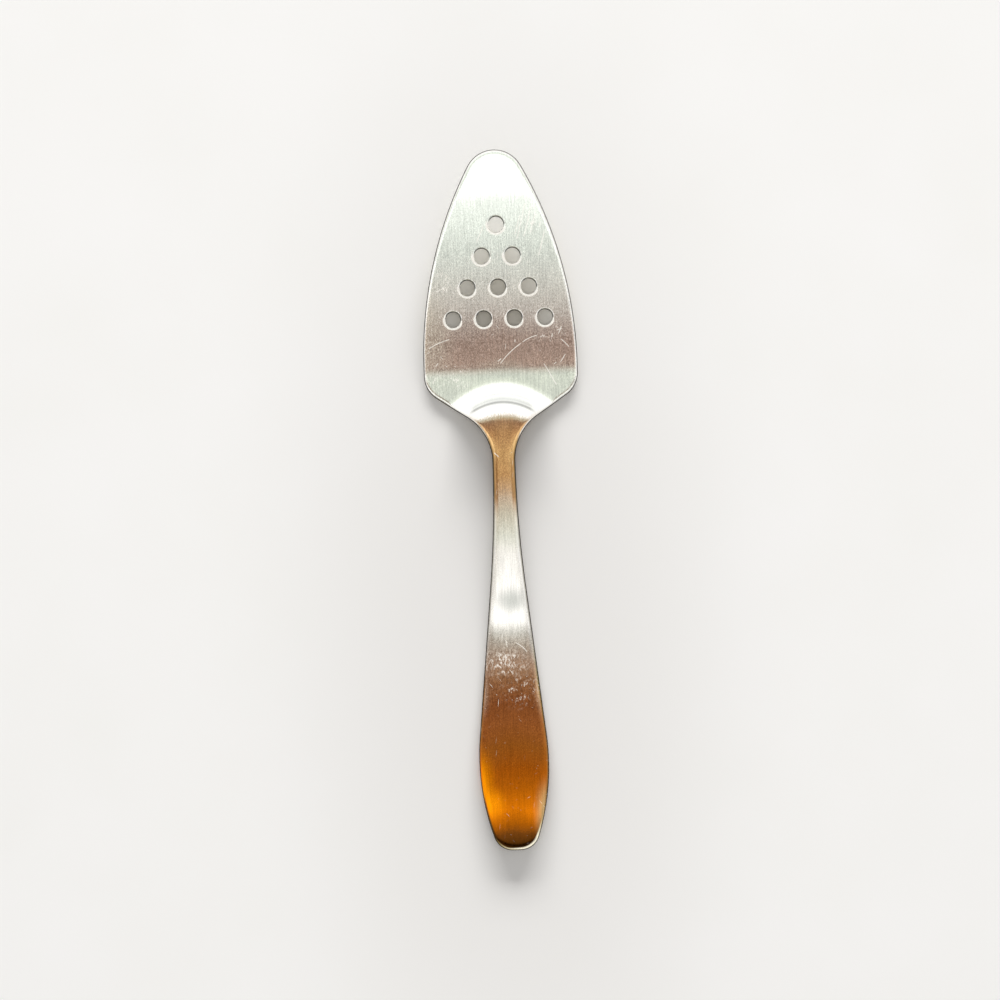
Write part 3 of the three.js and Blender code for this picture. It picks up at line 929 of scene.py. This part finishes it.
def brushed_stainless():
    """Belt-brushed stainless steel with its tint, grain, scuffs and scratches, and painted
    reflections, highlights and shade.
    """
    material, tree = new_material("brushed_stainless_steel")
    mm = places_in_mm(tree)
    across, length, _ = add(tree, "SeparateXYZ", (mm,))
    bowed = bowed_length(tree, across, length, HEEL_BOW)
    inset = add(tree, "Attribute", attribute_name="inset")["Fac"]
    mouth = add(tree, "Attribute", attribute_name="mouth")["Fac"]
    grain = mottle(tree, mm, GRAIN_SIZE, 3.0)
    fibres = mottle(tree, mm, FIBRE_SIZE, 2.0)
    clouds = mottle(tree, mm, CLOUD_SIZE, 3.0)
    wear = along_axis(tree, bowed, [(y, (*[worn * WEAR_SCALE] * 3, 1)) for y, worn in WEAR])

    # The tint with its painted reflection and glow, the foot's painted reflection, the rim's
    # painted light and the neck edge's painted shade
    tint_and_painted_light = painted(
        tree,
        axis_tint_and_reflection(tree, mm, length, bowed, clouds, fibres),
        (foot_reflection_cover(tree, bowed, length), linear(FOOT_PAINTED_REFLECTION)),
        (rim_light_cover(tree, inset, across, length), rim_painted_light(tree, across, length)),
        (neck_edge_shade_cover(tree, mm, inset, length), linear(NECK_EDGE_SHADE)),
    )
    tone = worn_tone(tree, grain, fibres, clouds, wear)
    toned = add(tree, "VectorMath", {0: tint_and_painted_light, "Scale": tone}, operation="SCALE")[0]

    # Pale scratches, nicks and scuffs, and the painted highlight on the holes' mouths
    marks = strongest(
        tree,
        scratch_marks(tree, across, length),
        nick_marks(tree, mm, wear),
        scuff_marks(tree, mm),
        add(tree, "MapRange", (mouth, 0, 1, 0, 1))[0],
    )
    # Painted shade on the holes' walls and on the dark side of their mouths
    wall_shade = add(tree, "MapRange", (mouth, *WALL_SHADE_COVER))[0]
    # Pale marks and painted highlights, then the rim's painted dark line, then painted shade in
    # the creases and on the holes' walls
    colour = painted(
        tree,
        toned,
        (marks, linear(MARK_AND_GLINT_COLOUR)),
        (add(tree, "MapRange", (inset, *RIM_PAINTED_DARK_LINE_COVER))[0], linear(RIM_PAINTED_DARK_LINE)),
        (strongest(tree, wall_shade, crease_shade(tree, across, length)), linear(CREASE_AND_WALL_SHADE)),
    )

    brushed_rough = add(tree, "MapRange", (fibres, *ROUGHNESS))[0]
    marked_rough = add(tree, "MapRange", (marks, 0, 1, 0, MARK_ROUGHNESS))[0]
    relief = {
        "Strength": RELIEF_STRENGTH,
        "Distance": RELIEF_DEPTH * MM,
        "Height": add(tree, "Math", (grain, fibres), operation="ADD")[0],
    }
    crosswise = add(
        tree,
        "VectorTransform",
        ((1.0, 0.0, 0.0),),
        vector_type="VECTOR",
        convert_from="OBJECT",
        convert_to="WORLD",
    )
    steel = {
        "Base Color": colour,
        "Metallic": 1.0,
        "Roughness": strongest(tree, brushed_rough, marked_rough),
        "Anisotropic": ANISOTROPY,
        "Tangent": crosswise[0],
        "Normal": add(tree, "Bump", relief)[0],
    }
    add(tree, "OutputMaterial", {"Surface": add(tree, "BsdfPrincipled", steel)[0]})
    return material


# Matt white laminate, pressed against a fine textured plate: an even white with a very faint
# mottle, no gloss, and a tooth that only softens the light
LAMINATE = ("#F9F8F5", "#FBFAF8")
LAMINATE_MOTTLE = (60, 60, 60)
LAMINATE_PATCHES = (0.3, 0.7, 0, 1)
LAMINATE_TOOTH = (0.5, 0.5, 0.5)  # real texture is near 0.1 mm; drawn so that it shows
TOOTH_DEPTH = 0.02
TOOTH_STRENGTH = 0.1
LAMINATE_ROUGHNESS = 0.85
LAMINATE_SHINE = 0.2
# Painted shade on the table: darker round the server, most towards the handle's end, and darker
# and
# warmer under the blade. Each: centre and size, colour
TABLE_PAINTED_SHADE = [
    ((0, -40), (120, 300), "#ECEAE7"),
    ((0, 60), (38, 55), "#E6E1D5"),
]


def pale_laminate():
    """The table's laminate."""
    material, tree = new_material("matt_white_laminate")
    mm = places_in_mm(tree)
    patches = mottle(tree, mm, LAMINATE_MOTTLE, 2.0)
    patches = add(tree, "MapRange", (patches, *LAMINATE_PATCHES))[0]
    first, second = (linear(colour) for colour in LAMINATE)
    # The laminate's mottle, with the painted shade round and under the server
    white = painted(tree, first, (patches, second), *coats_near(tree, mm, TABLE_PAINTED_SHADE))
    tooth = {
        "Strength": TOOTH_STRENGTH,
        "Distance": TOOTH_DEPTH * MM,
        "Height": mottle(tree, mm, LAMINATE_TOOTH, 2.0),
    }
    laminate = {
        "Base Color": white,
        "Roughness": LAMINATE_ROUGHNESS,
        "Specular IOR Level": LAMINATE_SHINE,
        "Normal": add(tree, "Bump", tooth)[0],
    }
    add(tree, "OutputMaterial", {"Surface": add(tree, "BsdfPrincipled", laminate)[0]})
    return material


def make_stage_piece(name, points, polygons, material):
    """An object of the scene around the server, kept apart from the part."""
    mesh = bpy.data.meshes.new(name)
    mesh.from_pydata(points, [], polygons)
    mesh.materials.append(material)
    piece = bpy.data.objects.new(name, mesh)
    bpy.context.scene.collection.objects.link(piece)
    return piece


def only_mirrored(piece):
    """Shows a piece to reflections only."""
    piece.visible_camera = False
    piece.visible_diffuse = False
    piece.visible_shadow = False
    piece.visible_transmission = False


def upright_corners(half_width, low, high, height):
    """The corners of a level rectangle, seen from above with the tip up."""
    return [
        (-half_width, low, height),
        (half_width, low, height),
        (half_width, high, height),
        (-half_width, high, height),
    ]


TABLE_REACH = 3.0


def make_table():
    """The pale table that the server lies on."""
    corners = upright_corners(TABLE_REACH, -TABLE_REACH, TABLE_REACH, 0)
    make_stage_piece("table", corners, [(0, 1, 2, 3)], pale_laminate())


# What hangs just over the camera, as the blade and the neck mirror it. The bands' places are in
# millimetres along the axis, in the card's own height.
CARD_HEIGHT = 0.535
CARD_HALF_WIDTH = 0.15
CARD_BANDS = [
    # place, colour, brightness
    (-72, "#E6E2D6", 1.0),
    (-62, "#DDD8CE", 1.0),
    (-55, "#C9C1B7", 1.0),
    (-46, "#C3B3A9", 1.0),
    (-30, "#BEA695", 1.0),
    (-14, "#C6AE9E", 1.0),
    (-5, "#85665A", 1.0),
    (8, "#85665A", 1.0),
    (13, "#99847A", 1.0),
    (18, "#B5A398", 1.0),
    (24, "#CEC3B9", 1.0),
    (31, "#DFD8D0", 1.0),
    (47, "#EFEDE7", 1.0),
    (63, "#F3F6F3", 1.0),
    (74, "#F9FDF9", 1.03),
    (86, "#FAFFF8", 1.1),
    (96, "#FBFFF8", 1.15),
    (104, "#FBFFFB", 1.27),
]


def make_card():
    """The banded card over the camera."""
    low, high = CARD_BANDS[0][0], CARD_BANDS[-1][0]
    material, tree = new_material("things_over_the_camera")
    _, length, _ = add(tree, "SeparateXYZ", (places_in_mm(tree),))
    bands = banded(tree, length, low, high, [(y, linear(*look)) for y, *look in CARD_BANDS])
    add(tree, "OutputMaterial", {"Surface": add(tree, "Emission", {"Color": bands})[0]})
    corners = upright_corners(CARD_HALF_WIDTH, low * MM, high * MM, CARD_HEIGHT)
    only_mirrored(make_stage_piece("card_over_the_camera", corners, [(0, 1, 2, 3)], material))


# The room round the table, as the steel mirrors it. Angles are in degrees from straight up,
# positive towards the tip.
ROOM_RADIUS = 12.0
ROOM_STEPS = 36
ROOM_BANDS = [
    # angle, colour, brightness
    (-90, "#EDE8D6", 1.0),
    (-44, "#F4F0E0", 1.2),
    (-38, "#2A2019", 1.0),
    (-34, "#4A3322", 1.0),
    (-28, "#FFFFFF", 1.5),
    (-9.2, "#FFFFFF", 1.9),
    (-8.8, "#FFFFFA", 1.3),
    (-8.4, "#FCFFF6", 1.0),
    (-8.0, "#F0F2E6", 1.0),
    (-7.4, "#E2DDD1", 1.0),
    (-6.9, "#D9CEC0", 1.0),
    (-6.2, "#D2B8A6", 1.0),
    (-5.2, "#D2B8A6", 1.0),
    (-4.2, "#C7AC97", 1.0),
    (-2.8, "#BCA28E", 1.0),
    (-0.5, "#BCA28E", 1.0),
    (0.3, "#F4F4F0", 1.0),
    (1.5, "#FFFFFF", 2.2),
    (5.8, "#FFFFFF", 2.2),
    (7, "#F2F5EC", 1.1),
    (14, "#F2F5EC", 1.25),
    (20, "#FFFFFF", 1.5),
    (77, "#FFFFFF", 1.45),
    (80, "#D8DAD2", 1.0),
    (90, "#C0C0B8", 1.0),
]
# The room's sides are plain white: the angles sideways at which the white sets in and is full, to
# the left and to the right. On the left it fades out behind the handle: where along the room.
ROOM_SIDES = ("#FFFFFF", 1.3)
ROOM_LEFT = (32, 44)
ROOM_RIGHT = (14, 30)
ROOM_LEFT_FADE = (-7, -3, 0, 1)


def room_walls():
    """The look of the room: banded along the server, plain at the sides."""
    material, tree = new_material("room_walls")
    across, length, height = add(tree, "SeparateXYZ", (add(tree, "TexCoord")["Object"],))
    angle = add(tree, "Math", (length, height), operation="ARCTAN2")[0]
    bands = [(math.radians(degrees), linear(*look)) for degrees, *look in ROOM_BANDS]
    colour = banded(tree, angle, -math.pi / 2, math.pi / 2, bands)
    left, right = ([math.sin(math.radians(a)) for a in side] for side in (ROOM_LEFT, ROOM_RIGHT))
    left = add(tree, "MapRange", (across, *[-ROOM_RADIUS * s for s in left], 0, 1))[0]
    right = add(tree, "MapRange", (across, *[ROOM_RADIUS * s for s in right], 0, 1))[0]
    fade = add(tree, "MapRange", (length, *ROOM_LEFT_FADE))[0]
    left = add(tree, "Math", (left, fade), operation="MULTIPLY")[0]
    colour = painted(tree, colour, (strongest(tree, left, right), linear(*ROOM_SIDES)))
    add(tree, "OutputMaterial", {"Surface": add(tree, "Emission", {"Color": colour})[0]})
    return material


def make_room():
    """The dome of the room."""
    points, polygons = [], []
    for i in range(ROOM_STEPS + 1):
        aside = math.pi * (i / ROOM_STEPS - 0.5)
        x, ring = ROOM_RADIUS * math.sin(aside), ROOM_RADIUS * math.cos(aside)
        for k in range(ROOM_STEPS + 1):
            turn = math.pi * (k / ROOM_STEPS - 0.5)
            points.append((x, ring * math.sin(turn), ring * math.cos(turn)))
            if i and k:
                last = len(points) - 1
                below = last - ROOM_STEPS - 1
                polygons.append((last, last - 1, below - 1, below))
    only_mirrored(make_stage_piece("room", points, polygons, room_walls()))


# The window's low light comes from beyond the tip and throws long shadows towards the handle;
# the lamp overhead keeps them pale. Each: name, place, size, watts
LAMPS = [
    ("window", (0.4, 6.84, 1.36), (6.2, 1.05), 1220),
    ("ceiling_lamp", (0, 0, 2.5), (1.2, 1.2), 5),
]


def make_lamp(name, place, size, watts):
    """A rectangular lamp that faces the server and isn't mirrored in it."""
    light = bpy.data.lights.new(name, "AREA")
    light.shape = "RECTANGLE"
    light.size, light.size_y = size
    light.energy = watts
    lamp = bpy.data.objects.new(name, light)
    lamp.location = place
    lamp.rotation_euler = (-Vector(place)).to_track_quat("-Z", "Y").to_euler()
    lamp.visible_glossy = False
    bpy.context.scene.collection.objects.link(lamp)


# How bright the world is as light on the pieces, and where it is seen or mirrored
WORLD_COLOUR = "#FFFEFD"
WORLD_LIGHT, WORLD_SEEN = 0.43, 0.85


def make_world():
    """Plain pale light from all round."""
    world = bpy.data.worlds.new("pale_room")
    world.use_nodes = True
    tree = world.node_tree
    rays = add(tree, "LightPath")
    seen = strongest(
        tree,
        rays["Is Camera Ray"],
        rays["Is Glossy Ray"],
        rays["Is Transmission Ray"],
    )
    strength = add(tree, "MapRange", (seen, 0, 1, WORLD_LIGHT, WORLD_SEEN))[0]
    background = tree.nodes["Background"]
    background.inputs["Color"].default_value = linear(WORLD_COLOUR)
    tree.links.new(strength, background.inputs["Strength"])
    bpy.context.scene.world = world


CAMERA_HEIGHT = 0.52
FRAME_WIDTH = 0.3460  # what the photograph's 1000 pixels span on the table
CAMERA_TURN = -1.98  # degrees; the server leans this far to the left
CAMERA_PLACE = (-0.0018, 0.0006)


def make_camera():
    """A camera straight above, turned so that the server leans as it does in the photograph."""
    data = bpy.data.cameras.new("camera")
    data.lens = data.sensor_width * CAMERA_HEIGHT / FRAME_WIDTH
    camera = bpy.data.objects.new("camera", data)
    camera.location = (*CAMERA_PLACE, CAMERA_HEIGHT)
    camera.rotation_euler = (0, 0, math.radians(CAMERA_TURN))
    bpy.context.scene.collection.objects.link(camera)
    bpy.context.scene.camera = camera


make_camera()
server = make_server()
server.data.materials.append(brushed_stainless())
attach(server, "root")
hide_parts("cake_server")
make_table()
make_card()
make_room()
for lamp in LAMPS:
    make_lamp(*lamp)
make_world()
bpy.context.scene.view_settings.view_transform = "Standard"
